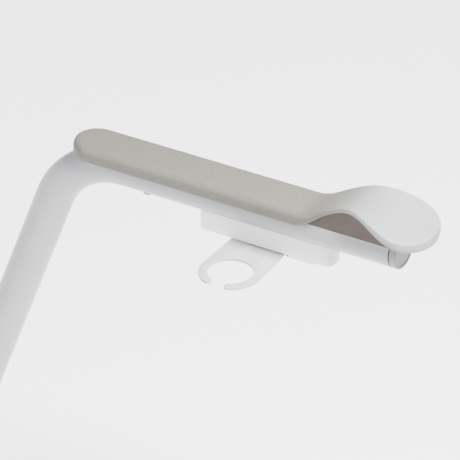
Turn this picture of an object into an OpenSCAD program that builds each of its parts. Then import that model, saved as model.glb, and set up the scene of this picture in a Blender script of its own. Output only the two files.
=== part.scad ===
// Swivelling forearm support: bent tube arm with a moulded pad, a raised palm
// rest and a fold-away ring holder.  Millimetres, +Z up, the arm points along +X.
// The origin is the centre of the mounting face, on the swivel axis.

/* [Arm tube] */
// Outside diameter of the tube
tube_od = 40; // [36:1:48]
// Wall thickness of the tube
tube_wall = 2; // [1.5:0.25:3]
// Height of the arm's axis above the mounting face
arm_h = 500; // [420:5:560]
// Distance from the swivel axis to the end of the tube
arm_reach = 545; // [520:1:640]
// Backward lean of the upright, measured from vertical
arm_lean = 21; // [12:0.5:26]
// Radius of the upper bend at the tube's axis
bend_r = 95; // [80:1:115]
// Radius of the lower bend at the tube's axis
lower_bend_r = 70; // [60:1:90]
// Straight vertical foot of the tube below the lower bend
foot_l = 14; // [12:1:40]
// Height of the flat along the top of the arm, above the tube's axis
flat_z = 9; // [7:0.5:11]

/* [Pad] */
// Width of the forearm pad
pad_w = 50; // [46:1:62]
// Height of the pad's top above the tube's axis
pad_top = 23; // [21:0.5:30]
// Distance from the end of the tube back to the rear end of the pad
pad_rear = 378; // [330:2:400]
// How far the pad's rim hangs below the flat
rim_drop = 3; // [1:0.5:4]
// Crown of the pad's top between its edges
crown = 1.2; // [0.4:0.2:3]
// Foam over the rigid carrier
foam_t = 9; // [6:0.5:11]
// Half width of the rigid carrier
carrier_y = 18; // [14:0.5:19]

/* [Palm rest] */
// Width of the palm rest
palm_w = 82; // [70:1:98]
// Height of the palm rest's crest above the tube's axis
crest_top = 47; // [36:1:54]
// Distance of the crest behind the end of the tube
crest_back = 44; // [30:1:60]
// Distance of the neck behind the end of the tube
neck_back = 108; // [96:1:130]
// Distance of the start of the flare behind the end of the tube
flare_back = 66; // [55:1:90]
// How far the tip reaches past the end of the tube
tip_out = 33; // [28:1:50]
// Height of the tip above the tube's axis
tip_top = 28; // [24:1:36]
// Depth of the dish in the palm rest
dish = 3; // [1:0.5:5]
// Thickness of the palm rest's edge at its crest
lip_t = 7; // [6:0.5:14]
// Thickness of the palm rest's edge round its tip
tip_t = 11; // [8:0.5:15]

/* [End cap] */
// Thickness of the cap's flange
cap_t = 6.6; // [3:0.2:10]
// Thickness of the gasket behind the flange
gasket_t = 1.6; // [1:0.2:3]
// Length of the cap's plug inside the tube
plug_l = 14; // [8:1:24]

/* [Holder box] */
// Length of the box under the arm
box_l = 154; // [140:1:190]
// Width of the box
box_w = 24; // [22:0.5:30]
// Depth of the box's bottom below the tube's axis
box_z = 39; // [35:0.5:46]
// Distance from the end of the tube to the near end of the box
box_back = 75; // [60:1:90]
// Wall thickness of the box
box_wall = 2; // [1.6:0.2:3]
// Corner radius of the box
box_r = 9; // [6:0.5:10]

/* [Ring holder] */
// Radius of the ring's hole
ring_r = 23; // [18:0.5:26]
// Width of the ring around the hole
ring_rim = 9; // [7:0.5:14]
// Width of the ring's mouth
mouth_w = 15; // [10:1:24]
// Half width of the holder plate beside the box
plate_neck = 30.5; // [26:0.5:34]
// Distance from the pivot out to the ring's centre
ring_out = 64; // [58:1:80]
// Thickness of the holder plate
plate_t = 2.4; // [2:0.2:4]
// Distance of the pivot behind the end of the tube
pivot_back = 160; // [150:1:175]

/* [Fasteners] */
// Diameter of the pad screws
pad_screw_d = 6; // [5:1:8]
// Distance of the rear pad screw behind the end of the tube
rear_screw_back = 293; // [270:1:310]
// Distance of the front pad screws from the ends of the box
box_screw_in = 15; // [13:1:24]
// Diameter of the holder's pivot
pivot_d = 8; // [6:1:10]

/* [Swivel base] */
// Diameter of the swivel pin
pin_d = 25; // [20:1:27]
// Height of the bearing housing
housing_h = 46; // [40:1:60]
// Outside diameter of the bearing housing
housing_d = 48; // [46:1:60]
// Diameter of the mounting flange
flange_d = 96; // [88:1:120]
// Thickness of the mounting flange
flange_t = 8; // [6:1:12]
// Bolt circle of the mounting holes
flange_pcd = 76; // [70:1:100]
// Diameter of the mounting holes
flange_hole_d = 8.5; // [6.5:0.5:9]
// Wall thickness of the plain bushes
bush_wall = 2.5; // [2:0.5:4]
// Length of each bush in its bore
bush_l = 12; // [8:1:16]

/* [Hidden] */
$fn = 96;
running = 0.05;      // radial running clearance of the swivel and of the pivot
loose = 0.25;        // radial clearance of screws in plain holes
gap = 0.3;           // gap between faces that move past each other
eps = 1;             // how far a cutter runs past the face it cuts
bend_step = 0.1;     // the tube's radius is this much larger in its bends
bend_run = 0.5;      // how far a straight runs into the bend beside it

tube_r = tube_od / 2;
tube_ir = tube_r - tube_wall;
pin_r = pin_d / 2;
pivot_r = pivot_d / 2;
screw_r = pad_screw_d / 2;

// swivel base, from the mounting face upwards
bush_flange = 2;
bush_r = pin_r + running + bush_wall;
bush_flange_r = bush_r + 3.5;
recess_h = 12;                                    // room for the retaining screw and washer
washer_t = 3;
washer_z = recess_h - bush_flange - washer_t - 0.1;
retain_screw_r = 5;
retain_head_t = 5;
collar_z = housing_h + bush_flange + 0.1;
collar_t = 3;
foot_z = collar_z + collar_t;                     // lower end of the tube
spigot_l = 26;                                    // spigot inside the tube
plug_r = 4;                                       // friction plug
plug_z = (recess_h + housing_h) / 2;
plug_out = pin_r + 6;

// tube path in the plane Y = 0
low_tangent = lower_bend_r * tan(arm_lean / 2);
low_corner_z = foot_z + foot_l + low_tangent;
up_angle = 90 - arm_lean;
up_tangent = bend_r * tan(up_angle / 2);
corner_x = (arm_h - low_corner_z) * tan(arm_lean);
upright_l = (arm_h - low_corner_z) / cos(arm_lean) - low_tangent - up_tangent;
arm_l = arm_reach - corner_x - up_tangent;

// closing strip under the flat
strip_t = 3;
strip_y = sqrt(tube_ir * tube_ir - flat_z * flat_z) - 0.2;
strip_front = -(cap_t + gasket_t + plug_l) - 1;
strip_rear = -arm_l + 2;

// pad outline, measured from the end of the tube
pad_r = pad_w / 2;
rear_u = -pad_rear + pad_r;                       // centre of the rounded rear end
neck_u = -neck_back;
crest_u = -crest_back;
flare_u = -flare_back;
wide_u = 0;
carrier_z = pad_top - foam_t;
carrier_tip = tip_out - 20;
rim_y = tube_r + 0.4;
pad_th = pad_top - flat_z + rim_drop;

// holder box and what it holds
box_front = -box_back;
box_rear = -box_back - box_l;
pivot_u = -pivot_back;
screw_us = [-rear_screw_back, box_rear + box_screw_in, box_front - box_screw_in];
chassis_t = 3;
chassis_w = box_w - 2 * box_wall - 3;
chassis_z = -tube_r - 5;                          // top of the chassis bar
chassis_in = box_wall + 3;
head_t = 3.4;                                     // button head of the pad screws
head_r = 1.9 * screw_r;
rear_head_t = 4.6;                                // larger head of the rear screw
rear_head_r = 2.3 * screw_r;
box_screw_r = 1.5;
box_screw_us = [box_rear + 30, box_front - 27];
boss_r = pivot_r + 4;
friction_t = 0.8;
boss_z = -box_z - gap;                            // lower face of the pivot boss
plate_z = boss_z - friction_t - 0.05;             // upper face of the holder plate
hub_r = box_w / 2 - 1;
arm_w = ring_r + ring_rim;                        // half width of the holder plate
shoulder_y = -box_w / 2 + 6;
side_in = 0.6;                                    // the plate's sides start inside the ring's edge
stop_t = 3.6;
stop_l = 29;
stop_u = pivot_u + max(plate_neck, arm_w) + gap;
buffer_l = 2;
spring_t = 1;
insert_r = screw_r + 1.8;

steel = [0.74, 0.75, 0.77];
powder_grey = [0.84, 0.84, 0.85];
pad_grey = [0.70, 0.69, 0.67];
core_brown = [0.55, 0.50, 0.46];
mould_white = [0.92, 0.92, 0.92];
dark = [0.2, 0.2, 0.21];
acetal = [0.93, 0.92, 0.88];
brass = [0.80, 0.66, 0.36];

// The end of the tube, on its axis
module at_tip() { translate([arm_reach, 0, arm_h]) children(); }

module ring(r_out, r_in, h) {
    difference() {
        cylinder(r = r_out, h = h);
        translate([0, 0, -eps]) cylinder(r = r_in, h = h + 2 * eps);
    }
}

// Screw with a domed head whose shank points up; z = 0 is under the head
module button_screw(r, l, head, head_h, socket) {
    difference() {
        union() {
            cylinder(r = r, h = l);
            rotate_extrude() intersection() {
                translate([0, -head_h]) square([head, head_h]);
                translate([0, (head * head - head_h * head_h) / (2 * head_h)])
                    circle(r = (head * head + head_h * head_h) / (2 * head_h));
            }
        }
        translate([0, 0, -head_h - eps]) cylinder(r = socket, h = head_h * 0.6 + eps, $fn = 6);
    }
}

// Rounded bar lying along X between two places
module bar(u0, u1, half_w, r, h) {
    translate([u0, -half_w, 0]) linear_extrude(h) union() {
        translate([r, 0]) square([u1 - u0 - 2 * r, 2 * half_w]);
        translate([0, r]) square([u1 - u0, 2 * half_w - 2 * r]);
        for (x = [r, u1 - u0 - r], y = [r, 2 * half_w - r]) translate([x, y]) circle(r = r);
    }
}

// Solid rod of radius r along the tube's path, with over added at both ends.  The
// straights are a hair thinner than the bends and run a little way into them.
module tube_path(r, over) {
    straight_r = r - bend_step;
    translate([0, 0, foot_z - over])
        cylinder(r = straight_r, h = foot_l + over + bend_run);
    translate([lower_bend_r, 0, foot_z + foot_l]) rotate([90, 0, 0])
        rotate([0, 0, 180 - arm_lean]) rotate_extrude(angle = arm_lean)
            translate([lower_bend_r, 0]) circle(r = r);
    translate([0, 0, low_corner_z]) rotate([0, arm_lean, 0])
        translate([0, 0, low_tangent - bend_run])
            cylinder(r = straight_r, h = upright_l + 2 * bend_run);
    translate([corner_x + up_tangent, 0, arm_h - bend_r]) rotate([90, 0, 0])
        rotate([0, 0, 90]) rotate_extrude(angle = up_angle)
            translate([bend_r, 0]) circle(r = r);
    translate([corner_x + up_tangent - bend_run, 0, arm_h]) rotate([0, 90, 0])
        cylinder(r = straight_r, h = arm_l + over + bend_run);
}

// ---- swivel base ----

module base_housing() {
    color(steel) difference() {
        union() {
            cylinder(r = flange_d / 2, h = flange_t);
            cylinder(r = housing_d / 2, h = housing_h);
            // fillet between the flange and the barrel
            translate([0, 0, flange_t]) rotate_extrude() difference() {
                square([housing_d / 2 + 6, 6]);
                translate([housing_d / 2 + 6, 6]) circle(r = 6);
            }
        }
        translate([0, 0, -eps]) cylinder(r = bush_r, h = housing_h + 2 * eps);
        translate([0, 0, -eps]) cylinder(r = bush_flange_r + 0.5, h = recess_h + eps);
        for (a = [45 : 90 : 315]) rotate([0, 0, a]) translate([flange_pcd / 2, 0, -eps])
            cylinder(r = flange_hole_d / 2, h = flange_t + 2 * eps);
        translate([0, 0, plug_z]) rotate([0, -90, 0]) cylinder(r = plug_r + 0.1, h = housing_d);
        translate([-plug_out, 0, plug_z]) rotate([0, -90, 0]) cylinder(r = plug_r + 1, h = housing_d);
    }
}

module bush() {
    ring(bush_r, pin_r + running, bush_l + bush_flange);
    ring(bush_flange_r, pin_r + running, bush_flange);
}

module lower_bush() {
    color(acetal) translate([0, 0, recess_h - bush_flange]) bush();
}

module upper_bush() {
    color(acetal) translate([0, 0, housing_h + bush_flange]) mirror([0, 0, 1]) bush();
}

module friction_plug() {
    color(acetal) translate([-pin_r - running, 0, plug_z]) rotate([0, -90, 0])
        cylinder(r = plug_r, h = plug_out - pin_r - running);
}

module friction_screw() {
    color(dark) translate([-plug_out, 0, plug_z]) rotate([0, -90, 0]) difference() {
        cylinder(r = plug_r + 1, h = housing_d / 2 - plug_out - 1);
        translate([0, 0, 1]) cylinder(r = 2.5, h = housing_d, $fn = 6);
    }
}

// ---- arm ----

module arm_tube() {
    color(powder_grey) difference() {
        tube_path(tube_r, 0);
        tube_path(tube_ir, eps);
        // the flat along the top of the arm
        translate([0, -tube_od, arm_h + flat_z]) cube([arm_reach + eps, 2 * tube_od, 2 * tube_od]);
        at_tip() translate([-cap_t - gasket_t, -tube_od, -tube_od])
            cube([cap_t + gasket_t + 2 * eps, 2 * tube_od, 2 * tube_od]);
        at_tip() for (u = screw_us) translate([u, 0, -tube_r - eps])
            cylinder(r = screw_r + loose, h = tube_r);
    }
}

module swivel_spigot() {
    color(steel) difference() {
        union() {
            translate([0, 0, washer_z + washer_t]) cylinder(r = pin_r, h = collar_z - washer_z - washer_t);
            translate([0, 0, collar_z]) cylinder(r = tube_r, h = collar_t);
            translate([0, 0, foot_z]) cylinder(r = tube_ir - bend_step - 0.05, h = min(foot_l, spigot_l));
        }
        translate([0, 0, washer_z]) cylinder(r = retain_screw_r, h = 25);
    }
}

module retaining_washer() {
    color(steel) translate([0, 0, washer_z]) ring(bush_flange_r - 0.5, retain_screw_r + loose, washer_t);
}

module retaining_screw() {
    color(dark) translate([0, 0, washer_z])
        button_screw(retain_screw_r - 0.02, 22, 1.8 * retain_screw_r, retain_head_t, 3);
}

module top_strip() {
    color(steel) at_tip() difference() {
        translate([strip_rear, -strip_y, flat_z - strip_t])
            cube([strip_front - strip_rear, 2 * strip_y, strip_t]);
        for (u = screw_us) translate([u, 0, 0]) cylinder(r = screw_r + loose, h = tube_r);
    }
}

// Round section below the flat, lying along X from u
module flat_round(u, l, r) {
    difference() {
        translate([u, 0, 0]) rotate([0, 90, 0]) cylinder(r = r, h = l);
        translate([u - eps, -tube_od, flat_z]) cube([l + 2 * eps, 2 * tube_od, 2 * tube_od]);
    }
}

module end_cap() {
    plug_u = -cap_t - gasket_t - plug_l;
    color(mould_white) at_tip() difference() {
        union() {
            flat_round(-cap_t, cap_t, tube_r);
            flat_round(plug_u, plug_l + gasket_t + cap_t, tube_ir - bend_step - 0.1);
        }
        // hollow of the plug
        translate([plug_u - eps, 0, 0]) rotate([0, 90, 0]) cylinder(r = tube_ir - 3, h = plug_l + eps);
    }
}

module cap_gasket() {
    color(dark) at_tip() difference() {
        flat_round(-cap_t - gasket_t, gasket_t, tube_r - 0.6);
        translate([-cap_t - gasket_t - eps, 0, 0]) rotate([0, 90, 0])
            cylinder(r = tube_ir - 0.1, h = gasket_t + 2 * eps);
    }
}

// ---- pad and carrier ----

function ease(t) = let (c = max(0, min(1, t))) c * c * (3 - 2 * c);
function mix(a, b, t) = a + (b - a) * t;

// Top of the pad, half width and lip thickness at a distance u from the tube's end
function top_at(u) = u < crest_u
    ? mix(pad_top, crest_top, ease((u - neck_u) / (crest_u - neck_u)))
    : mix(crest_top, tip_top, ease((u - crest_u) / (tip_out - crest_u)));
function half_at(u) = u < rear_u
    ? sqrt(max(1, pad_r * pad_r - (u - rear_u) * (u - rear_u)))
    : u < wide_u
        ? mix(pad_r, palm_w / 2, ease((u - flare_u) / (wide_u - flare_u)))
        : palm_w / 2 * sqrt(max(0.01, 1 - pow((u - wide_u) / (tip_out - wide_u), 2)));
function crown_at(u) = u < crest_u
    ? mix(crown, -dish, ease((u - neck_u) / (crest_u - neck_u)))
    : mix(-dish, crown, ease((u - crest_u) / (tip_out - crest_u)));
function lip_at(u) = u < crest_u
    ? mix(pad_th, lip_t, ease((u - neck_u + 6) / (0.6 * (crest_u - neck_u))))
    : mix(lip_t, tip_t, ease((u - crest_u) / (wide_u - crest_u)));
function carrier_top(u) = top_at(u) - foam_t;
function carrier_half(u) = max(0.4, min(carrier_y, half_at(u) - 6));

// Places of the sections: round the rear end, along the flat, over the palm rest
rear_us = [for (a = [80 : -8 : 8]) rear_u - pad_r * sin(a)];
flat_us = [rear_u, (rear_u + neck_u) / 2, neck_u - 8];
palm_us = [for (i = [0 : 14]) mix(neck_u, wide_u, i / 14)];
tip_us = [for (a = [10 : 10 : 80]) wide_u + (tip_out - wide_u) * sin(a)];
pad_us = concat(rear_us, flat_us, palm_us, tip_us, [tip_out - 0.1]);
carrier_us = [for (u = pad_us) if (u > rear_u - carrier_y + 1 && u <= carrier_tip) u];

// Half width of the tube, straight or bent away, at a height z above its axis
function tube_half(u, z) = let (past = max(0, -arm_l - u),
        off = past > 0 ? sqrt(past * past + (z + bend_r) * (z + bend_r)) - bend_r : z)
    sqrt(max(0, tube_r * tube_r - off * off));

// Half section: from the middle of the top, out round the edge, to the middle underneath,
// where a step stands over the tube and a recess takes the carrier
function half_section(u) = let (
        w = half_at(u), t = top_at(u), q = crown_at(u), rim = t - lip_at(u), r = min(5, w / 2.5, lip_at(u) / 2.2),
        c = min(carrier_half(u), w - r - 1), y = max(c + 0.5, min(rim_y, w - r - 0.4)),
        b = y > tube_half(u, rim) + 0.2 ? rim : max(rim, flat_z), s = max(b + 0.4, flat_z), k = has_carrier(u) ? max(carrier_top(u), s + 0.4) : s + 0.4)
    concat([[0, t + q], [(w - r) / 2, t + 0.7 * q], [w - r, t]],
        [for (a = [60, 30, 0]) [w - r + r * cos(a), t - r + r * sin(a)]],
        [for (a = [0, 30, 60]) [w - r + r * cos(a), b + r - r * sin(a)]],
        [[w - r, b], [y, b], [y, s], [c, s], [c, k], [0, k]]);
function has_carrier(u) = u > rear_u - carrier_y - 0.12 * pad_r && u <= carrier_tip;

// Closed loop of one section as points in space
function section(u) = let (h = half_section(u), n = len(h))
    concat([for (p = h) [u, -p[0], p[1]]], [for (i = [n - 2 : -1 : 1]) [u, h[i][0], h[i][1]]]);

// Skin over a row of sections with the same number of points
module loft(rows) {
    n = len(rows[0]);
    m = len(rows);
    polyhedron(points = [for (r = rows) for (p = r) p], faces = concat(
        [[for (j = [0 : n - 1]) j]],
        [for (i = [0 : m - 2]) for (j = [0 : n - 1])
            [i * n + j, (i + 1) * n + j, (i + 1) * n + (j + 1) % n]],
        [for (i = [0 : m - 2]) for (j = [0 : n - 1])
            [i * n + j, (i + 1) * n + (j + 1) % n, i * n + (j + 1) % n]],
        [[for (j = [n - 1 : -1 : 0]) (m - 1) * n + j]]), convexity = 6);
}

module arm_pad() {
    color(pad_grey) at_tip() loft([for (u = pad_us) section(u)]);
}

// Side view of the carrier: flat below, following the pad's underside above
module pad_carrier() {
    last = carrier_us[len(carrier_us) - 1];
    first = rear_u - carrier_y;
    color(core_brown) at_tip() difference() {
        intersection() {
            translate([0, carrier_y, 0]) rotate([90, 0, 0]) linear_extrude(2 * carrier_y)
                polygon(concat([[first, flat_z], [0, flat_z], [last, carrier_top(last) - 6]],
                    [for (i = [len(carrier_us) - 1 : -1 : 0]) [carrier_us[i], carrier_top(carrier_us[i]) - 0.05]],
                    [[first, carrier_z - 0.05]]));
            translate([0, 0, flat_z - eps]) bar(first, last + carrier_y, carrier_y, carrier_y - 0.5, 60);
        }
        for (u = screw_us) translate([u, 0, 0]) cylinder(r = insert_r, h = carrier_z - 1.5);
    }
}

module carrier_inserts() {
    color(brass) at_tip() for (u = screw_us) translate([u, 0, flat_z])
        ring(insert_r, screw_r, carrier_z - 1.5 - flat_z);
}

module rear_pad_screw() {
    color(dark) at_tip() translate([screw_us[0], 0, -tube_r])
        button_screw(screw_r - 0.02, tube_r + carrier_z - 3, rear_head_r, rear_head_t, 2.5);
}

module front_pad_screws() {
    under = chassis_z - chassis_t;
    color(steel) at_tip() for (i = [1, 2]) translate([screw_us[i], 0, under])
        button_screw(screw_r - 0.02, carrier_z - 3 - under, head_r, head_t, 2);
}

// ---- holder box ----

module saddle_spacers() {
    color(steel) at_tip() for (i = [1, 2]) difference() {
        translate([screw_us[i], 0, chassis_z]) ring(screw_r + 3.5, screw_r + loose, tube_r / 2);
        translate([screw_us[i] - 20, 0, 0]) rotate([0, 90, 0]) cylinder(r = tube_r, h = 40);
    }
}

module box_chassis() {
    color(steel) at_tip() difference() {
        union() {
            translate([0, 0, chassis_z - chassis_t])
                bar(box_rear + chassis_in, box_front - chassis_in, chassis_w / 2, 3, chassis_t);
            translate([pivot_u, 0, boss_z]) cylinder(r = boss_r, h = chassis_z - chassis_t - boss_z);
            for (u = box_screw_us) translate([u, 0, -box_z + box_wall])
                cylinder(r = 3.5, h = chassis_z - chassis_t + box_z - box_wall);
        }
        for (i = [1, 2]) translate([screw_us[i], 0, chassis_z - chassis_t - eps])
            cylinder(r = screw_r + loose, h = chassis_t + 2 * eps);
        translate([pivot_u, 0, boss_z - eps]) cylinder(r = pivot_r - 1, h = chassis_z - boss_z + 2 * eps);
        for (u = box_screw_us) translate([u, 0, -box_z])
            cylinder(r = box_screw_r, h = box_wall + 8);
    }
}

module holder_box() {
    color(mould_white) at_tip() difference() {
        translate([0, 0, -box_z]) bar(box_rear, box_front, box_w / 2, box_r, box_z - tube_r / 2);
        translate([0, 0, -box_z + box_wall])
            bar(box_rear + box_wall, box_front - box_wall, box_w / 2 - box_wall, box_r - box_wall, box_z);
        translate([box_rear - eps, 0, 0]) rotate([0, 90, 0]) cylinder(r = tube_r + 0.05, h = box_l + 2 * eps);
        translate([pivot_u, 0, -box_z - eps]) cylinder(r = boss_r + loose, h = box_wall + 2 * eps);
        for (u = box_screw_us) translate([u, 0, -box_z - eps])
            cylinder(r = box_screw_r + loose, h = box_wall + 2 * eps);
        for (u = stop_screw_us()) translate([u, 0, -box_z - eps])
            cylinder(r = box_screw_r, h = box_wall + 2 * eps);
    }
}

function stop_screw_us() = [stop_u + buffer_l + 5, stop_u + buffer_l + 13];

module box_screws() {
    color(steel) at_tip() for (u = box_screw_us) translate([u, 0, -box_z])
        button_screw(box_screw_r - 0.02, box_wall + 7, 2.8, 0.9, 0.9);
}

module holder_stop() {
    color(mould_white) at_tip() difference() {
        translate([0, 0, -box_z - stop_t])
            bar(stop_u + buffer_l, stop_u + buffer_l + stop_l, box_w / 2 - 3, 3, stop_t);
        for (u = stop_screw_us()) translate([u, 0, -box_z - stop_t - eps])
            cylinder(r = box_screw_r + loose, h = stop_t + 2 * eps);
        if (box_screw_us[1] < stop_u + buffer_l + stop_l + 4) translate([box_screw_us[1], 0, -box_z - 1.2])
            cylinder(r = 3.4, h = 2);
    }
}

module stop_screws() {
    color(steel) at_tip() for (u = stop_screw_us()) translate([u, 0, -box_z - stop_t])
        button_screw(box_screw_r - 0.02, stop_t + box_wall, 2.8, 1.2, 0.9);
}

module stop_buffer() {
    color(dark) at_tip() translate([stop_u, -box_w / 2 + 3.5, -box_z - stop_t])
        cube([buffer_l, box_w - 7, stop_t]);
}

module pivot_bolt() {
    shoulder = boss_z - plate_z + plate_t + 0.05 + friction_t + spring_t;
    color(steel) at_tip() translate([pivot_u, 0, boss_z - shoulder]) {
        button_screw(pivot_r - running, shoulder, 2 * pivot_r, 3.2, 2.5);
        translate([0, 0, shoulder - 0.01]) cylinder(r = pivot_r - 1, h = chassis_z - boss_z);
    }
}

module friction_washer(z) {
    translate([pivot_u, 0, z]) ring(boss_r - 0.5, pivot_r, friction_t);
}

module upper_friction_washer() {
    color(acetal) at_tip() friction_washer(boss_z - friction_t);
}

module lower_friction_washer() {
    color(acetal) at_tip() friction_washer(plate_z - plate_t - 0.05 - friction_t);
}

module spring_washer() {
    color(steel) at_tip() translate([pivot_u, 0, plate_z - plate_t - 0.05 - friction_t - spring_t])
        ring(boss_r - 1, pivot_r, spring_t);
}

// Ring plate: a wide arm with a round end, a notch under the box and a pivot hub
module holder_plate() {
    tip_a = asin((mouth_w / 2 + ring_rim / 2) / (ring_r + ring_rim / 2));
    color(powder_grey) at_tip() translate([pivot_u, 0, plate_z - plate_t]) linear_extrude(plate_t)
        difference() {
            union() {
                circle(r = hub_r);
                translate([-hub_r, shoulder_y - 1]) square([2 * hub_r, 1 - shoulder_y]);
                difference() {
                    union() {
                        polygon([[-arm_w + side_in, -ring_out], [arm_w - side_in, -ring_out],
                            [plate_neck, shoulder_y], [-plate_neck, shoulder_y]]);
                        translate([0, -ring_out]) circle(r = arm_w);
                    }
                    translate([0, -ring_out]) circle(r = ring_r);
                    translate([-mouth_w / 2 - ring_rim / 2, -ring_out - arm_w - eps])
                        square([mouth_w + ring_rim, arm_w]);
                }
                // rounded ends of the two fingers
                for (s = [-1, 1]) translate([0, -ring_out]) rotate(s * tip_a)
                    translate([0, -ring_r - ring_rim / 2]) circle(r = ring_rim / 2);
            }
            circle(r = pivot_r);
        }
}

base_housing();
lower_bush();
upper_bush();
friction_plug();
friction_screw();
arm_tube();
swivel_spigot();
retaining_washer();
retaining_screw();
top_strip();
end_cap();
cap_gasket();
pad_carrier();
carrier_inserts();
arm_pad();
rear_pad_screw();
front_pad_screws();
saddle_spacers();
box_chassis();
holder_box();
box_screws();
holder_stop();
stop_screws();
stop_buffer();
pivot_bolt();
upper_friction_washer();
lower_friction_washer();
spring_washer();
holder_plate();
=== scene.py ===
import math

import bpy
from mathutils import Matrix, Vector, noise


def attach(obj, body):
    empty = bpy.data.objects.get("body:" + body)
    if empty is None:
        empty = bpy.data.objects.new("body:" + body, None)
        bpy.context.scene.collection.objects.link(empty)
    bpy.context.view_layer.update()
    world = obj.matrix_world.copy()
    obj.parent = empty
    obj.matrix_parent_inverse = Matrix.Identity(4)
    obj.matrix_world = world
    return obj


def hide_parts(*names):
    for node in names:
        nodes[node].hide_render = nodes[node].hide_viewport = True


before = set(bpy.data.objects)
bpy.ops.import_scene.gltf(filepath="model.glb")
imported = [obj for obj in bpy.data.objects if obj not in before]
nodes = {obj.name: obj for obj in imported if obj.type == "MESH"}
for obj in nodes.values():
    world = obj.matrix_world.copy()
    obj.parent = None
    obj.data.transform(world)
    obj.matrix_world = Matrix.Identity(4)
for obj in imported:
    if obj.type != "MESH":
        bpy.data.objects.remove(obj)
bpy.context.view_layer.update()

bpy.ops.object.select_all(action="DESELECT")

shared = {"smoothAngle": 32, "roundSides": 96, "level": 1e-5, "upright": 0.01}


# an sRGB hex colour as linear red, green, blue and alpha
def linear(code):
    parts = [int(code[i:i + 2], 16) / 255 for i in (1, 3, 5)]
    return [c / 12.92 if c <= 0.04045 else ((c + 0.055) / 1.055) ** 2.4 for c in parts] + [1.0]


def addNode(tree, kind, inputs=None, **settings):
    made = tree.nodes.new(kind)
    for name, value in settings.items():
        setattr(made, name, value)
    for name, value in (inputs or {}).items():
        if isinstance(value, bpy.types.NodeSocket):
            tree.links.new(value, made.inputs[name])
        else:
            made.inputs[name].default_value = value
    return made


def ease(t):
    t = max(0.0, min(1.0, t))
    return t * t * (3 - 2 * t)


def mix(a, b, t):
    return a + (b - a) * t


def activate(obj):
    if bpy.context.mode != "OBJECT":
        bpy.ops.object.mode_set(mode="OBJECT")
    bpy.ops.object.select_all(action="DESELECT")
    obj.select_set(True)
    bpy.context.view_layer.objects.active = obj


# leaves obj in edit mode with only the edges selected whose two ends pass the test
def pickEdges(obj, test):
    activate(obj)
    bpy.ops.object.mode_set(mode="EDIT")
    bpy.ops.mesh.select_mode(type="EDGE")
    bpy.ops.mesh.select_all(action="DESELECT")
    bpy.ops.object.mode_set(mode="OBJECT")
    spots = [v.co.copy() for v in obj.data.vertices]
    for edge in obj.data.edges:
        edge.select = test(*(spots[i] for i in edge.vertices))
    bpy.ops.object.mode_set(mode="EDIT")


# leaves obj in edit mode with only the faces selected whose centre and normal pass the test
def pickFaces(obj, test):
    activate(obj)
    bpy.ops.object.mode_set(mode="EDIT")
    bpy.ops.mesh.select_mode(type="FACE")
    bpy.ops.mesh.select_all(action="DESELECT")
    bpy.ops.object.mode_set(mode="OBJECT")
    for face in obj.data.polygons:
        face.select = test(face.center, face.normal)
    bpy.ops.object.mode_set(mode="EDIT")


def addCube(name, place, size):
    bpy.ops.object.select_all(action="DESELECT")
    bpy.ops.mesh.primitive_cube_add(size=1, location=place, scale=size)
    made = bpy.context.object
    made.name = name
    bpy.ops.object.transform_apply(location=True, rotation=True, scale=True)
    return made


# cuts a round hole, centred on place, out of obj
def cutAway(obj, place, radius, length, axis):
    activate(obj)
    turn = (0, math.pi / 2, 0) if axis == "X" else (0, 0, 0)
    bpy.ops.mesh.primitive_cylinder_add(vertices=shared["roundSides"], radius=radius, depth=length,
                                        location=place, rotation=turn)
    cutter = bpy.context.object
    cut = obj.modifiers.new("cut", "BOOLEAN")
    cut.operation = "DIFFERENCE"
    cut.solver = "EXACT"
    cut.object = cutter
    activate(obj)
    bpy.ops.object.modifier_apply(modifier="cut")
    bpy.data.objects.remove(cutter)


def finishPiece(obj, slotName, body, *replaced):
    activate(obj)
    bpy.ops.object.shade_smooth_by_angle(angle=math.radians(shared["smoothAngle"]))
    obj.data.materials.clear()
    obj.data.materials.append(finishes[slotName])
    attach(obj, body)
    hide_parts(*replaced)


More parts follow.
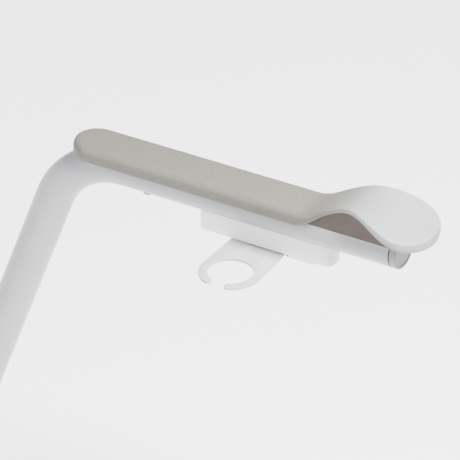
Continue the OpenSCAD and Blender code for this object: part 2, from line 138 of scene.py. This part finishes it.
# a surface grain that shows as bump and uneven gloss, over a drift between two near colours
def grainedFinish(name, colour, rough, grainMm, grainDepthMm, tintTo=None, patchMm=40, roughSpread=0.05,
                  metallic=0.0, coat=0.0, paintedLightTo=None, paintedLightX=(0, 1)):
    mat = bpy.data.materials.new(name)
    mat.use_nodes = True
    tree = mat.node_tree
    shader = tree.nodes["Principled BSDF"]
    place = addNode(tree, "ShaderNodeTexCoord").outputs["Object"]
    fine = addNode(tree, "ShaderNodeTexNoise", {"Vector": place, "Scale": 1000 / grainMm, "Detail": 3.0})
    patch = addNode(tree, "ShaderNodeTexNoise", {"Vector": place, "Scale": 1000 / patchMm, "Detail": 2.0})
    ramp = addNode(tree, "ShaderNodeMapRange",
                   {"Value": patch.outputs["Fac"], "From Min": 0.3, "From Max": 0.7})
    blend = addNode(tree, "ShaderNodeMix", {"Factor": ramp.outputs["Result"]}, data_type="RGBA")
    blend.inputs[6].default_value = linear(colour)
    blend.inputs[7].default_value = linear(tintTo or colour)
    gloss = addNode(tree, "ShaderNodeMapRange",
                    {"Value": fine.outputs["Fac"], "To Min": rough - roughSpread,
                     "To Max": rough + roughSpread})
    bump = addNode(tree, "ShaderNodeBump", {"Height": fine.outputs["Fac"], "Strength": 1.0,
                                            "Distance": grainDepthMm / 1000})
    body = blend.outputs[2]
    # painted light: the colour turns paler along X, standing in for the light that falls on that end
    if paintedLightTo:
        along = addNode(tree, "ShaderNodeSeparateXYZ", {"Vector": place}).outputs["X"]
        paintedLightFade = addNode(tree, "ShaderNodeMapRange", {"Value": along, "From Min": paintedLightX[0], "From Max": paintedLightX[1]},
                       interpolation_type="SMOOTHSTEP")
        paintedLightMix = addNode(tree, "ShaderNodeMix", {"Factor": paintedLightFade.outputs["Result"]}, data_type="RGBA")
        tree.links.new(body, paintedLightMix.inputs[6])
        paintedLightMix.inputs[7].default_value = linear(paintedLightTo)
        body = paintedLightMix.outputs[2]
    tree.links.new(body, shader.inputs["Base Color"])
    tree.links.new(gloss.outputs["Result"], shader.inputs["Roughness"])
    tree.links.new(bump.outputs["Normal"], shader.inputs["Normal"])
    shader.inputs["Metallic"].default_value = metallic
    shader.inputs["Coat Weight"].default_value = coat
    return mat


finishes = {
    # dull and soft to the eye; its fine leather grain is drawn about 2 mm coarse so that it shows; towards the
    # palm rest tip its colour turns paler, which is painted light for the light falling on the palm rest
    "pad_skin": grainedFinish("polyurethane integral skin foam, moulded, grained", "#64615B", 0.55, 1.3, 0.22,
                              tintTo="#59564F", patchMm=2.2, roughSpread=0.06,
                              paintedLightTo="#898A8D", paintedLightX=(0.450, 0.540)),
    # satin, with soft wide highlights along the tube
    "powder_coat": grainedFinish("polyester powder coat on steel tube, light grey", "#A2A3A6", 0.34, 1.4, 0.02,
                                 tintTo="#9E9FA2", patchMm=60, roughSpread=0.04),
    # the same coat on flat sheet, a little duller
    "plate_coat": grainedFinish("polyester powder coat on laser cut sheet", "#A9AAAC", 0.38, 1.2, 0.02,
                                tintTo="#A5A6A8", patchMm=40, roughSpread=0.04),
    # even white with a faint sheen on its rounded corners
    "white_plastic": grainedFinish("ABS, injection moulded, fine spark texture, white", "#F4F4F4",
                                   0.38, 0.6, 0.015, tintTo="#F0F0F0", patchMm=50),
    # waxy grey, a shade darker than the tube
    "cap_plastic": grainedFinish("polyethylene, injection moulded, grey", "#88898D", 0.42, 0.7, 0.02,
                                 tintTo="#838488", patchMm=20),
    # flat brown-grey with hardly any highlight; the brown is the core's own tone, and its darkness is partly
    # painted shade for the hollow under the palm rest lip
    "carrier_plastic": grainedFinish("rigid polyurethane core, moulded, painted", "#4B3F38", 0.62, 1.1, 0.08,
                                     tintTo="#433832", patchMm=18, roughSpread=0.08),
    # a matt dark line
    "rubber": grainedFinish("EPDM rubber, moulded, black", "#1E1E20", 0.68, 0.5, 0.03, patchMm=10),
    # near black with a small metal glint
    "black_steel": grainedFinish("steel screw, black oxide", "#2A2B2D", 0.42, 0.4, 0.01,
                                 metallic=0.9, patchMm=5),
    # bright bluish metal
    "turned_steel": grainedFinish("steel, turned and zinc plated", "#B9BBBD", 0.30, 0.35, 0.008,
                                  tintTo="#B1B4B8", metallic=1.0, patchMm=12),
    # soft grey metal without sharp reflections
    "cast_aluminium": grainedFinish("aluminium, turned, bead blasted and anodised", "#C4C6C9",
                                    0.46, 0.8, 0.02, tintTo="#BFC1C5", metallic=1.0, patchMm=50),
    # milky off-white
    "acetal": grainedFinish("acetal, turned, natural", "#EDEBE2", 0.36, 0.5, 0.01, patchMm=15),
    # warm yellow metal
    "brass": grainedFinish("brass, turned and knurled", "#C9A655", 0.28, 0.3, 0.02,
                           metallic=1.0, patchMm=6),
}

slotNodes = {
    "cast_aluminium": ["base_housing"],
    "acetal": ["lower_bush", "upper_bush", "friction_plug", "upper_friction_washer", "lower_friction_washer"],
    "black_steel": ["friction_screw", "retaining_screw", "rear_pad_screw"],
    "powder_coat": ["arm_tube", "top_strip"],
    "turned_steel": ["swivel_spigot", "retaining_washer", "front_pad_screws", "saddle_spacers", "box_chassis",
                     "box_screws", "stop_screws", "pivot_bolt", "spring_washer"],
    "cap_plastic": ["end_cap"],
    "rubber": ["cap_gasket", "stop_buffer"],
    "carrier_plastic": ["pad_carrier"],
    "brass": ["carrier_inserts"],
    "pad_skin": ["arm_pad"],
    "white_plastic": ["holder_box", "holder_stop"],
    "plate_coat": ["holder_plate"],
}
for slotName, names in slotNodes.items():
    for nodeName in names:
        mesh = nodes[nodeName].data
        if not mesh.materials:
            mesh.materials.append(None)
        for i in range(len(mesh.materials)):
            mesh.materials[i] = finishes[slotName]
print("finishes on", sum(len(v) for v in slotNodes.values()), "CAD nodes")


arm = {"tipX": 0.545, "axisZ": 0.500}


pad = {"rear": 0.378, "half": 0.025, "neck": 0.108, "flare": 0.066,
       "crest": 0.044, "out": 0.033, "palmHalf": 0.041, "top": 0.023, "crestTop": 0.047, "tipTop": 0.028,
       "flat": 0.009, "rimDrop": 0.003, "foam": 0.009, "carrierHalf": 0.018, "tubeEdge": 0.0204,
       "crown": 0.0012, "dish": 0.003, "lip": 0.007, "tipLip": 0.011,
       "edgeTop": 0.007, "palmEdgeTop": 0.003, "edgeUnder": 0.0035, "seam": 0.00025,
       "lipEarly": 0.006, "lipShare": 0.6, "thinnest": 0.0006, "underShare": 0.45, "leastSide": 0.0008,
       "hair": 0.0002, "step": 0.0003, "coreGap": 0.00005, "coreIn": 0.006, "coreRear": 0.001,
       "coreFront": 0.018, "topBand": 0.006, "waver": 0.00012, "waverScale": 45,
       "rings": 150, "endRings": 22, "topSteps": 14, "sideSteps": 6, "underSteps": 6}
rearCentre = -pad["rear"] + pad["half"]
fullDrop = pad["top"] - pad["flat"] + pad["rimDrop"]


def padTop(u):
    if u < -pad["crest"]:
        return mix(pad["top"], pad["crestTop"], ease((u + pad["neck"]) / (pad["neck"] - pad["crest"])))
    return mix(pad["crestTop"], pad["tipTop"], ease((u + pad["crest"]) / (pad["out"] + pad["crest"])))


def padHalf(u):
    if u < rearCentre:
        return math.sqrt(max(0.0, pad["half"] ** 2 - (u - rearCentre) ** 2))
    if u < 0:
        return mix(pad["half"], pad["palmHalf"], ease((u + pad["flare"]) / pad["flare"]))
    return pad["palmHalf"] * math.sqrt(max(0.0, 1 - (u / pad["out"]) ** 2))


def padLip(u):
    if u < -pad["crest"]:
        return mix(fullDrop, pad["lip"],
                   ease((u + pad["neck"] + pad["lipEarly"]) / (pad["lipShare"] * (pad["neck"] - pad["crest"]))))
    return mix(pad["lip"], pad["tipLip"], ease((u + pad["crest"]) / pad["crest"]))


def padCrown(u):
    if u < -pad["crest"]:
        return mix(pad["crown"], -pad["dish"], ease((u + pad["neck"]) / (pad["neck"] - pad["crest"])))
    return mix(-pad["dish"], pad["crown"], ease((u + pad["crest"]) / (pad["out"] + pad["crest"])))


def edgeDistance(u, y):
    if u < rearCentre:
        return pad["half"] - math.hypot(u - rearCentre, y)
    if u < 0:
        return padHalf(u) - abs(y)
    reach = math.hypot(u / pad["out"], y / pad["palmHalf"])
    slope = math.hypot(u / pad["out"] ** 2, y / pad["palmHalf"] ** 2) / max(reach, 1e-6)
    return (1 - reach) / max(slope, 1e-6) if reach > 0.05 else pad["out"]


def roundOff(distance, radius):
    inside = max(0.0, min(radius, distance))
    return radius - math.sqrt(radius * radius - (radius - inside) ** 2)


# half section from the middle of the top round to the middle underneath, as (y, z) pairs
def padSection(u):
    half = max(padHalf(u), pad["thinnest"])
    top = padTop(u)
    under = top - padLip(u)
    palm = ease((u + pad["neck"]) / (pad["neck"] - pad["crest"]))
    edgeTop = mix(pad["edgeTop"], pad["palmEdgeTop"], palm)
    edgeUnder = min(pad["edgeUnder"], padLip(u) * pad["underShare"])
    edgeTop = min(edgeTop, padLip(u) - edgeUnder - pad["leastSide"])
    points = []
    for i in range(pad["topSteps"] + 1):
        y = half * math.sin(math.pi / 2 * i / pad["topSteps"])
        z = top + padCrown(u) * (1 - (y / half) ** 2) - roundOff(edgeDistance(u, y), edgeTop)
        points.append((y, z))
    high = points[-1][1]
    low = under + edgeUnder
    for i in range(1, pad["sideSteps"]):
        t = i / pad["sideSteps"]
        bulge = pad["seam"] if i * 2 == pad["sideSteps"] else 0.0
        points.append((half + bulge, mix(high, low, t)))
    rim = max(min(pad["tubeEdge"], half - edgeUnder - pad["hair"]), pad["step"])
    for i in range(pad["underSteps"] + 1):
        y = mix(half, rim, 1 - math.cos(math.pi / 2 * i / pad["underSteps"]))
        points.append((y, under + roundOff(half - y, edgeUnder)))
    shelf = max(under + pad["step"], pad["flat"])
    core = min(pad["carrierHalf"] + pad["hair"], max(half - pad["coreIn"], pad["hair"]), rim - pad["coreGap"])
    hasCore = rearCentre - pad["carrierHalf"] - pad["coreRear"] < u < pad["out"] - pad["coreFront"]
    ceiling = shelf + pad["step"]
    if hasCore:
        ceiling = max(top - pad["foam"], ceiling)
    points += [(rim, shelf), (core, shelf), (core, ceiling), (core / 2, ceiling), (0.0, ceiling)]
    return points


def padPlaces():
    ends = pad["endRings"]
    rear = [rearCentre - pad["half"] * math.cos(math.pi / 2 * i / ends) for i in range(ends)]
    front = [pad["out"] * math.sin(math.pi / 2 * i / ends) for i in range(1, ends + 1)]
    middle = pad["rings"] - 2 * ends
    return rear + [mix(rearCentre, 0, i / middle) for i in range(middle + 1)] + front


places = padPlaces()
loop = 2 * (len(padSection(0)) - 1)
bpy.ops.mesh.primitive_cylinder_add(vertices=loop, radius=pad["half"], depth=pad["rear"] + pad["out"],
                                    end_fill_type="NGON", location=(0, 0, 0), rotation=(0, math.pi / 2, 0))
padPiece = bpy.context.object
padPiece.name = "pad"
bpy.ops.object.transform_apply(location=True, rotation=True, scale=True)
bpy.ops.object.mode_set(mode="EDIT")
bpy.ops.mesh.select_all(action="DESELECT")
bpy.ops.mesh.select_mode(type="EDGE")
bpy.ops.object.mode_set(mode="OBJECT")
for edge in padPiece.data.edges:
    a, b = (padPiece.data.vertices[v].co for v in edge.vertices)
    edge.select = abs(a.x - b.x) > shared["upright"]
bpy.ops.object.mode_set(mode="EDIT")
bpy.ops.mesh.subdivide(number_cuts=len(places) - 2)
bpy.ops.object.mode_set(mode="OBJECT")

sections = [padSection(u) for u in places]
length = pad["rear"] + pad["out"]
for vertex in padPiece.data.vertices:
    along = (vertex.co.x + length / 2) / length
    ring = round(along * (len(places) - 1))
    turn = math.atan2(vertex.co.y, vertex.co.z) / (2 * math.pi) * loop
    index = round(turn)
    side = -1 if index < 0 else 1
    y, z = sections[ring][min(abs(index), loop // 2)]
    spot = Vector((arm["tipX"] + places[ring], side * y, arm["axisZ"] + z))
    if z > padTop(places[ring]) - pad["topBand"]:  # the moulded top is never quite flat
        spot.z += pad["waver"] * noise.noise(spot * pad["waverScale"])
    vertex.co = spot
padPiece.data.update()
bpy.ops.object.mode_set(mode="EDIT")
bpy.ops.mesh.select_all(action="SELECT")
bpy.ops.mesh.normals_make_consistent(inside=False)
bpy.ops.object.mode_set(mode="OBJECT")
finishPiece(padPiece, "pad_skin", "arm", "arm_pad")
print("pad:", len(padPiece.data.polygons), "faces")


box = {"front": -0.075, "length": 0.154, "width": 0.024, "bottom": -0.039, "top": -0.012, "wall": 0.002,
       "corner": 0.009, "soft": 0.0016, "tube": 0.0201, "pivot": -0.160, "bossHole": 0.00825,
       "screws": (-0.199, -0.102), "screwHole": 0.00175, "tubeCut": 0.3, "floorCut": 0.01}
boxPiece = addCube("box", (arm["tipX"] + box["front"] - box["length"] / 2, 0,
                           arm["axisZ"] + (box["bottom"] + box["top"]) / 2),
                   (box["length"], box["width"], box["top"] - box["bottom"]))
pickEdges(boxPiece, lambda a, b: abs(a.z - b.z) > shared["upright"])
bpy.ops.mesh.bevel(offset=box["corner"], segments=9, affect="EDGES")
boxFloor = arm["axisZ"] + box["bottom"]
pickEdges(boxPiece, lambda a, b: max(a.z, b.z) < boxFloor + shared["level"])
bpy.ops.mesh.bevel(offset=box["soft"], segments=4, affect="EDGES")
pickFaces(boxPiece, lambda place, normal: normal.z > 0.9)
bpy.ops.mesh.inset(thickness=box["wall"])
bpy.ops.mesh.extrude_region_move(
    TRANSFORM_OT_translate={"value": (0, 0, -(box["top"] - box["bottom"] - box["wall"]))})
boxMiddle = arm["tipX"] + box["front"] - box["length"] / 2
cutAway(boxPiece, (boxMiddle, 0, arm["axisZ"]), box["tube"], box["tubeCut"], "X")
cutAway(boxPiece, (arm["tipX"] + box["pivot"], 0, boxFloor), box["bossHole"], box["floorCut"], "Z")
for u in box["screws"]:
    cutAway(boxPiece, (arm["tipX"] + u, 0, boxFloor), box["screwHole"], box["floorCut"], "Z")
finishPiece(boxPiece, "white_plastic", "arm", "holder_box")
print("box:", len(boxPiece.data.polygons), "faces")


cap = {"radius": 0.020, "thick": 0.0066, "flat": 0.009, "gasket": 0.0016, "plug": 0.014, "step": 0.0022,
       "round": 0.0011, "rim": 0.0018, "recess": 0.0005}
bpy.ops.mesh.primitive_cylinder_add(vertices=shared["roundSides"], radius=cap["radius"], depth=cap["thick"],
                                    end_fill_type="NGON", rotation=(0, math.pi / 2, 0),
                                    location=(arm["tipX"] - cap["thick"] / 2, 0, arm["axisZ"]))
capPiece = bpy.context.object
capPiece.name = "cap"
bpy.ops.object.transform_apply(location=True, rotation=True, scale=True)
bpy.ops.object.mode_set(mode="EDIT")
bpy.ops.mesh.select_all(action="SELECT")
bpy.ops.mesh.bisect(plane_co=(0, 0, arm["axisZ"] + cap["flat"]), plane_no=(0, 0, 1), use_fill=True,
                    clear_outer=True)
pickFaces(capPiece, lambda place, normal: normal.x < -0.9)
bpy.ops.mesh.inset(thickness=cap["step"], use_even_offset=False)
bpy.ops.mesh.extrude_region_move(TRANSFORM_OT_translate={"value": (-cap["gasket"] - cap["plug"], 0, 0)})
pickEdges(capPiece, lambda a, b: min(a.x, b.x) > arm["tipX"] - shared["level"])
bpy.ops.mesh.bevel(offset=cap["round"], segments=4, affect="EDGES")
pickFaces(capPiece, lambda place, normal: normal.x > 0.99)
bpy.ops.mesh.inset(thickness=cap["rim"], use_even_offset=False)
bpy.ops.mesh.extrude_region_move(TRANSFORM_OT_translate={"value": (-cap["recess"], 0, 0)})
bpy.ops.object.mode_set(mode="OBJECT")
finishPiece(capPiece, "cap_plastic", "arm", "end_cap")
print("cap:", len(capPiece.data.polygons), "faces")


ring = {"pivot": -0.160, "topZ": -0.04015, "thick": 0.0024, "half": 0.032, "neck": 0.0305,
        "hole": 0.023, "out": 0.064,
        "mouth": 0.015, "hub": 0.011, "shoulder": 0.006, "pivotHole": 0.004, "edge": 0.00035,
        "hubSteps": 24, "sideSteps": 20, "tipSteps": 10, "holeSteps": 72, "pivotCut": 0.01}
fingerHalf = (ring["half"] - ring["hole"]) / 2
fingerTurn = math.asin((ring["mouth"] / 2 + fingerHalf) / (ring["hole"] + fingerHalf))


def arc(centre, radius, start, end, steps):
    turns = [mix(start, end, i / steps) for i in range(steps + 1)]
    return [(centre[0] + radius * math.cos(a), centre[1] + radius * math.sin(a)) for a in turns]


def fingerTip(turn):
    reach = ring["hole"] + fingerHalf
    return (reach * math.cos(turn), -ring["out"] + reach * math.sin(turn))


ringCentre = (0, -ring["out"])
down = math.pi * 1.5
leftTurn, rightTurn = down - fingerTurn, down + fingerTurn
outline = arc((0, 0), ring["hub"], 0, math.pi, ring["hubSteps"])
outline += [(-ring["hub"], -ring["shoulder"]), (-ring["neck"], -ring["shoulder"])]
outline += arc(ringCentre, ring["half"], math.pi, leftTurn, ring["sideSteps"])
outline += arc(fingerTip(leftTurn), fingerHalf, leftTurn, leftTurn + math.pi,
               ring["tipSteps"])[1:-1]
outline += arc(ringCentre, ring["hole"], leftTurn, rightTurn - 2 * math.pi, ring["holeSteps"])
outline += arc(fingerTip(rightTurn), fingerHalf, rightTurn + math.pi, rightTurn + 2 * math.pi,
               ring["tipSteps"])[1:-1]
outline += arc(ringCentre, ring["half"], rightTurn, 2 * math.pi, ring["sideSteps"])
outline += [(ring["neck"], -ring["shoulder"]), (ring["hub"], -ring["shoulder"])]
bpy.ops.mesh.primitive_circle_add(vertices=len(outline), radius=ring["half"], fill_type="NGON")
ringPiece = bpy.context.object
ringPiece.name = "ring_holder"
for vertex, (x, y) in zip(ringPiece.data.vertices, outline):
    vertex.co = (arm["tipX"] + ring["pivot"] + x, y, arm["axisZ"] + ring["topZ"])
bpy.ops.object.mode_set(mode="EDIT")
bpy.ops.mesh.select_all(action="SELECT")
bpy.ops.mesh.extrude_region_move(TRANSFORM_OT_translate={"value": (0, 0, -ring["thick"])})
bpy.ops.mesh.select_all(action="SELECT")
bpy.ops.mesh.normals_make_consistent(inside=False)
ringUnderside = arm["axisZ"] + ring["topZ"] - ring["thick"]
pickEdges(ringPiece, lambda a, b: abs(a.z - b.z) < shared["level"])
bpy.ops.mesh.bevel(offset=ring["edge"], segments=2, affect="EDGES")
cutAway(ringPiece, (arm["tipX"] + ring["pivot"], 0, ringUnderside), ring["pivotHole"], ring["pivotCut"], "Z")
finishPiece(ringPiece, "plate_coat", "holder", "holder_plate")
print("ring holder:", len(ringPiece.data.polygons), "faces")


studio = {"floor": 14.0, "azimuth": 30.3, "elevation": 31.5, "distance": 4.0, "lens": 312.6,
          "look": (0.338, 0.0, 0.495), "shiftRight": 0.0080, "shiftDown": 0.0306, "sensor": 36, "clip": 40,
          "floorPlace": (0.3, 0, -0.001), "aim": (0.34, 0, 0.5), "glow": 2.6, "dimGlow": 0.40,
          "dimX": (0.2, 1.0), "dimY": (-0.7, 0.2), "nearShare": 0.3, "world": "#F7F8FA", "worldLight": 0.50}
bpy.ops.mesh.primitive_plane_add(size=studio["floor"], location=studio["floorPlace"])
floor = bpy.context.object
floor.name = "floor"
floor.data.materials.append(grainedFinish("paper backdrop, matt, white, glowing as painted light", "#CFCFCF", 0.9, 2.0, 0.0,
                                          patchMm=900, roughSpread=0.02))
# painted light: the floor glows so that it reads near white, and glows less to the right and towards the near
# side, so the faces of the arm turned that way get less light and read darker
floorTree = floor.data.materials[0].node_tree
glow = floorTree.nodes["Principled BSDF"].inputs
glow["Emission Color"].default_value = linear("#FFFFFF")
floorPlace = addNode(floorTree, "ShaderNodeTexCoord").outputs["Object"]
floorAxes = addNode(floorTree, "ShaderNodeSeparateXYZ", {"Vector": floorPlace}).outputs
rightSide = addNode(floorTree, "ShaderNodeMapRange",
                    {"Value": floorAxes["X"], "From Min": studio["dimX"][0], "From Max": studio["dimX"][1],
                     "To Min": studio["glow"], "To Max": studio["dimGlow"]},
                    interpolation_type="SMOOTHSTEP")
nearSide = addNode(floorTree, "ShaderNodeMapRange",
                   {"Value": floorAxes["Y"], "From Min": studio["dimY"][0], "From Max": studio["dimY"][1],
                    "To Min": studio["nearShare"], "To Max": 1.0},
                   interpolation_type="SMOOTHSTEP")
dimming = addNode(floorTree, "ShaderNodeMath", {0: rightSide.outputs["Result"], 1: nearSide.outputs["Result"]},
                  operation="MULTIPLY")
floorTree.links.new(dimming.outputs["Value"], glow["Emission Strength"])

azimuth, elevation = math.radians(studio["azimuth"]), math.radians(studio["elevation"])
back = Vector((math.sin(azimuth) * math.cos(elevation), -math.cos(azimuth) * math.cos(elevation),
               math.sin(elevation)))
right = Vector((math.cos(azimuth), math.sin(azimuth), 0))
up = back.cross(right)
centre = Vector(studio["look"]) + right * studio["shiftRight"] - up * studio["shiftDown"]
bpy.ops.object.camera_add(location=centre + back * studio["distance"])
camera = bpy.context.object
camera.rotation_euler = (-back).to_track_quat("-Z", "Y").to_euler()
camera.data.lens = studio["lens"]
camera.data.sensor_width = studio["sensor"]
camera.data.clip_end = studio["clip"]
bpy.context.scene.camera = camera

lamps = {
    "key": {"place": (1.25, -0.20, 1.80), "size": (0.5, 0.5), "power": 175},
    "front": {"place": (-0.9, -2.2, 1.2), "size": (1.6, 1.2), "power": 60},
    "behind": {"place": (0.6, 2.2, 2.1), "size": (1.2, 0.8), "power": 20},
}
for name, lamp in lamps.items():
    bpy.ops.object.light_add(type="AREA", location=lamp["place"])
    light = bpy.context.object
    light.name = name
    light.data.shape = "RECTANGLE"
    light.data.size, light.data.size_y = lamp["size"]
    light.data.energy = lamp["power"]
    light.visible_camera = False
    aim = Vector(studio["aim"]) - Vector(lamp["place"])
    light.rotation_euler = aim.to_track_quat("-Z", "Y").to_euler()

world = bpy.data.worlds.new("studio")
bpy.context.scene.world = world
world.use_nodes = True
world.node_tree.nodes["Background"].inputs["Color"].default_value = linear(studio["world"])
world.node_tree.nodes["Background"].inputs["Strength"].default_value = studio["worldLight"]
print("studio ready")
